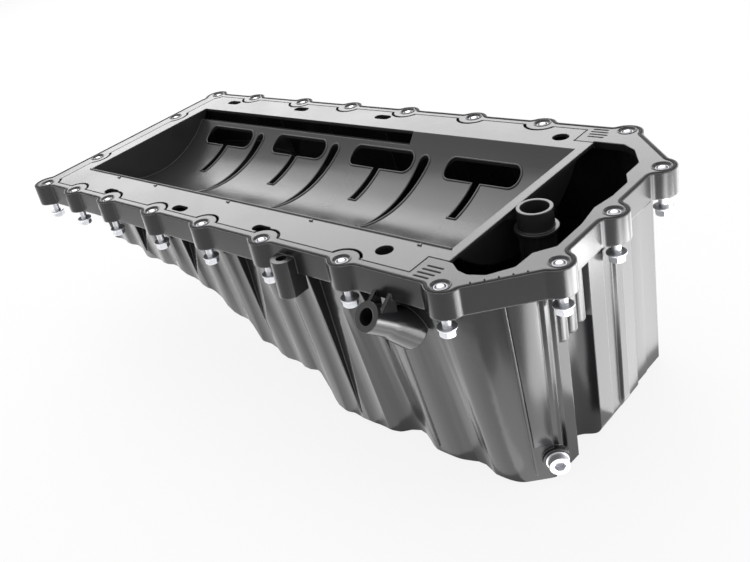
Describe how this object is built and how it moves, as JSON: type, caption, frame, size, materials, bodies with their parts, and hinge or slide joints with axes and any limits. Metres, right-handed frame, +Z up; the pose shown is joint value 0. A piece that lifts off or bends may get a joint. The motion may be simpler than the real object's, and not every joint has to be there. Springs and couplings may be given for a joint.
{
  "type": "engine oil pan",
  "caption": "Deep-sump plastic engine oil pan with a flanged rim, let-in half-round windage tray, suction pipe, dipstick port and captive flange bolts.",
  "frame": {"origin": "on the flange's sealing plane and the pan's centre line, level with the first side bolt", "axes": "+Z up out of the pan, +X along the pan towards its deep end, -Y towards the dipstick port"},
  "size_m": [0.7043, 0.3459, 0.2185],
  "materials": {
    "moulding": "satin",
    "gasket": "matte",
    "seal": "satin",
    "sleeve": "satin",
    "zinc": "bright zinc"
  },
  "bodies": {
    "root": {"bolt_end_1": "zinc", "bolt_end_2": "zinc", "bolt_end_3": "zinc", "bolt_far_1": "zinc", "bolt_far_2": "zinc", "bolt_far_3": "zinc", "bolt_far_4": "zinc", "bolt_far_5": "zinc", "bolt_far_6": "zinc", "bolt_far_7": "zinc", "bolt_far_8": "zinc", "bolt_left_1": "zinc", "bolt_left_2": "zinc", "bolt_near_1": "zinc", "bolt_near_2": "zinc", "bolt_near_3": "zinc", "bolt_near_4": "zinc", "bolt_near_5": "zinc", "bolt_near_6": "zinc", "bolt_near_7": "zinc", "bolt_near_8": "zinc", "bolt_sleeves": "sleeve", "drain_plug": "zinc", "drain_seal": "seal", "flange_gasket": "gasket", "pan_shell": "moulding", "suction_pipe": "moulding", "suction_strainer": "moulding", "windage_tray": "moulding"}
  },
  "joints": []
}
